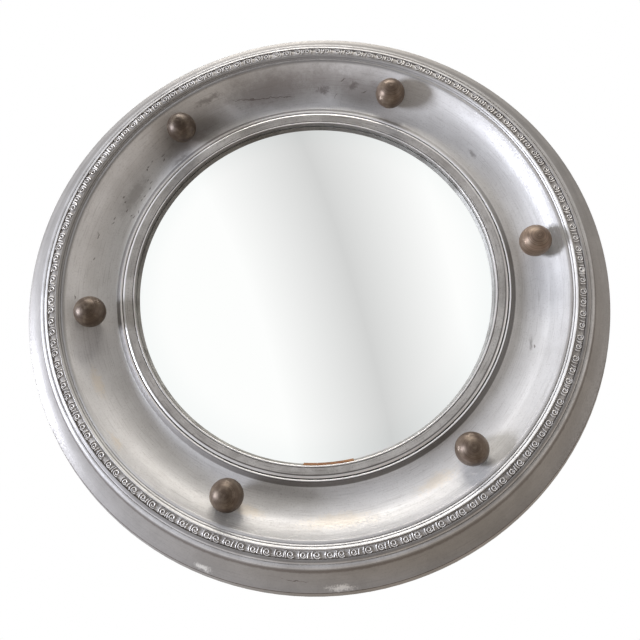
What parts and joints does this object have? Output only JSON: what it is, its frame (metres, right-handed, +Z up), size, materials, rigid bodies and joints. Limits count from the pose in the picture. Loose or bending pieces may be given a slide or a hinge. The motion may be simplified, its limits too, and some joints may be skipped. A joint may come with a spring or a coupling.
{
  "type": "convex butler's mirror",
  "caption": "Round convex wall mirror in a silvered turned wood frame: flared rim, band of running scrolls, wide hollow carrying turned wooden balls, and a narrow slip round the glass.",
  "frame": {"origin": "middle of the round end of the hanger's slot, where the wall screw bears, on the plane of the frame's flat back", "axes": "+Z up as the mirror hangs, the glass faces -Y, +X to the viewer's right; the mirror's round axis runs along Y, 279 mm below the origin"},
  "size_m": [0.6099, 0.0532, 0.61],
  "materials": {
    "silvered_wood": "silver leaf over gesso and turned wood, burnished and worn",
    "silvered_ornament": "pressed composition scrolls under silver leaf, dark in the hollows",
    "worn_silver": "silver leaf rubbed thin, with fine turning lines",
    "mirror_glass": "convex glass silvered behind",
    "turned_ball": "turned wood with a bronze-brown satin finish",
    "dowel_wood": "plain birch",
    "bare_wood": "bare softwood slivers",
    "hardboard": "brown hardboard, smooth side out",
    "felt": "dark wool felt",
    "card": "grey-brown packing card",
    "button_metal": "yellow-passivated steel",
    "zinc_screw": "zinc-plated steel",
    "zinc_plate": "zinc-plated steel"
  },
  "bodies": {
    "frame": {"back_ring": "silvered_wood", "flare_ring": "silvered_wood", "step_moulding": "silvered_wood", "scroll_band": "silvered_ornament", "bead_moulding": "silvered_wood", "cove_ring": "silvered_wood", "slip_ring": "worn_silver", "mirror_glass": "mirror_glass", "cushion_ring": "felt", "packing_ring": "card", "short_shim": "bare_wood", "long_shim": "bare_wood", "backboard": "hardboard", "ball_1": "turned_ball", "ball_2": "turned_ball", "ball_3": "turned_ball", "ball_4": "turned_ball", "ball_5": "turned_ball", "ball_6": "turned_ball", "ball_dowels": "dowel_wood", "button_screws": "zinc_screw", "ring_screws": "zinc_screw", "hanger_plate": "zinc_plate", "hanger_screws": "zinc_screw", "wall_pads": "felt"},
    "button_1": {"turn_button_1": "button_metal"},
    "button_2": {"turn_button_2": "button_metal"},
    "button_3": {"turn_button_3": "button_metal"},
    "button_4": {"turn_button_4": "button_metal"},
    "button_5": {"turn_button_5": "button_metal"},
    "button_6": {"turn_button_6": "button_metal"}
  },
  "joints": [
    {"name": "turn_button_1_swing", "type": "hinge", "parent": "frame", "child": "button_1", "pos_m": [0.17844, -0.0042, -0.13707], "axis": [0, 1, 0], "range_deg": [-125, 125]},
    {"name": "turn_button_2_swing", "type": "hinge", "parent": "frame", "child": "button_2", "pos_m": [-0.0337, -0.0042, -0.0535], "axis": [0, 1, 0], "range_deg": [-125, 125]},
    {"name": "turn_button_3_swing", "type": "hinge", "parent": "frame", "child": "button_3", "pos_m": [-0.21213, -0.0042, -0.19544], "axis": [0, 1, 0], "range_deg": [-125, 125]},
    {"name": "turn_button_4_swing", "type": "hinge", "parent": "frame", "child": "button_4", "pos_m": [-0.17844, -0.0042, -0.42093], "axis": [0, 1, 0], "range_deg": [-125, 125]},
    {"name": "turn_button_5_swing", "type": "hinge", "parent": "frame", "child": "button_5", "pos_m": [0.0337, -0.0042, -0.5045], "axis": [0, 1, 0], "range_deg": [-125, 125]},
    {"name": "turn_button_6_swing", "type": "hinge", "parent": "frame", "child": "button_6", "pos_m": [0.21213, -0.0042, -0.36256], "axis": [0, 1, 0], "range_deg": [-125, 125]}
  ]
}
